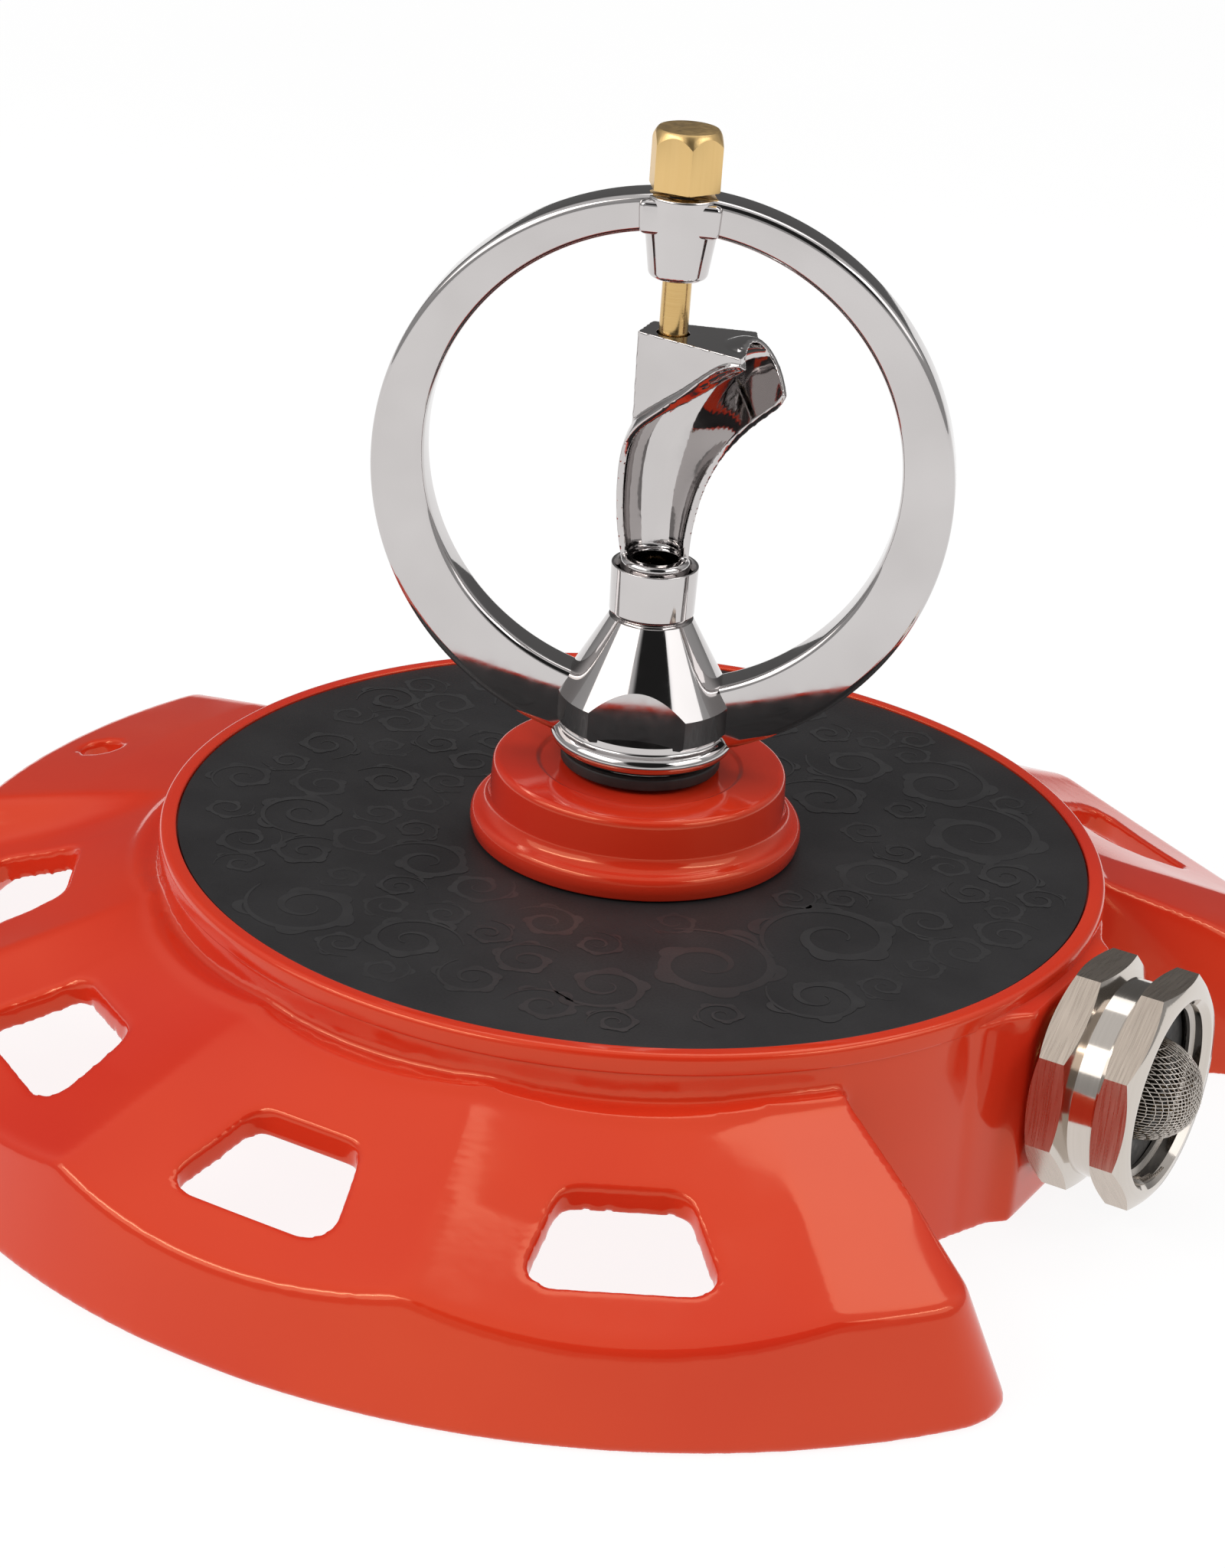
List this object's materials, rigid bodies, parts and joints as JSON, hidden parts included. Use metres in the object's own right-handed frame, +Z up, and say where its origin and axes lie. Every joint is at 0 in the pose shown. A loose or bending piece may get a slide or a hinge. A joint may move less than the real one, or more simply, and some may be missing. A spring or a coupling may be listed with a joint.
{
  "type": "lawn sprinkler",
  "caption": "Spinning ring sprinkler: a chrome ring head with an adjustable scoop turns on a dished cast base with a swivel hose nut.",
  "frame": {"origin": "centre of the footprint on the ground; the head turns about a vertical axis 8.75 mm along +X from it", "axes": "+Z up; +X points out of the hose inlet; the base is symmetrical about the XZ plane"},
  "size_m": [0.2014, 0.219, 0.1406],
  "materials": {
    "red_paint": "gloss orange-red enamel on a die casting",
    "label_charcoal": "satin charcoal overlay with a faint tone-on-tone scroll",
    "chrome": "bright chrome plate",
    "brass": "machined brass",
    "nickel_plate": "machined nickel-plated brass",
    "stainless_mesh": "woven stainless wire screen",
    "stainless_steel": "plain stainless",
    "black_rubber": "black moulded rubber",
    "white_acetal": "natural acetal"
  },
  "bodies": {
    "base": {"base_casting": "red_paint", "label_disc": "label_charcoal", "bearing_collar": "red_paint", "riser_body": "brass", "riser_screw_1": "stainless_steel", "riser_screw_2": "stainless_steel", "riser_screw_3": "stainless_steel", "feed_pipe": "brass", "inner_pipe_seal": "black_rubber", "outer_pipe_seal": "black_rubber", "bearing_bush": "white_acetal", "spindle_seal": "black_rubber", "thrust_washer": "black_rubber", "wear_washer": "white_acetal", "inlet_tailpiece": "brass"},
    "hose_nut": {"inlet_nut": "nickel_plate", "hose_washer": "black_rubber", "strainer_screen": "stainless_mesh"},
    "head": {"head_casting": "chrome", "spindle": "brass", "spindle_clip": "stainless_steel", "slip_washer": "white_acetal", "nozzle": "brass", "stem_seal": "black_rubber"},
    "scoop": {"scoop": "chrome"},
    "knob": {"adjusting_knob": "brass", "adjusting_stem": "brass", "stem_clip": "stainless_steel"}
  },
  "joints": [
    {"name": "head_spin", "type": "hinge", "parent": "base", "child": "head", "pos_m": [0.00875, 0, 0.06], "axis": [0, 0, 1], "continuous": true},
    {"name": "nut_swivel", "type": "hinge", "parent": "base", "child": "hose_nut", "pos_m": [0.08875, 0, 0.0204], "axis": [1, 0, 0], "continuous": true},
    {"name": "knob_turn", "type": "hinge", "parent": "head", "child": "knob", "pos_m": [0.00875, 0, 0.13], "axis": [0, 0, 1], "range_deg": [-720, 720]},
    {"name": "scoop_lift", "type": "slide", "parent": "head", "child": "scoop", "axis": [0, 0, 1], "range_m": [-0.0014, 0.0014]}
  ],
  "couplings": [
    {"joint": "scoop_lift", "follows": "knob_turn", "m_per_rad": -0.0001114}
  ]
}
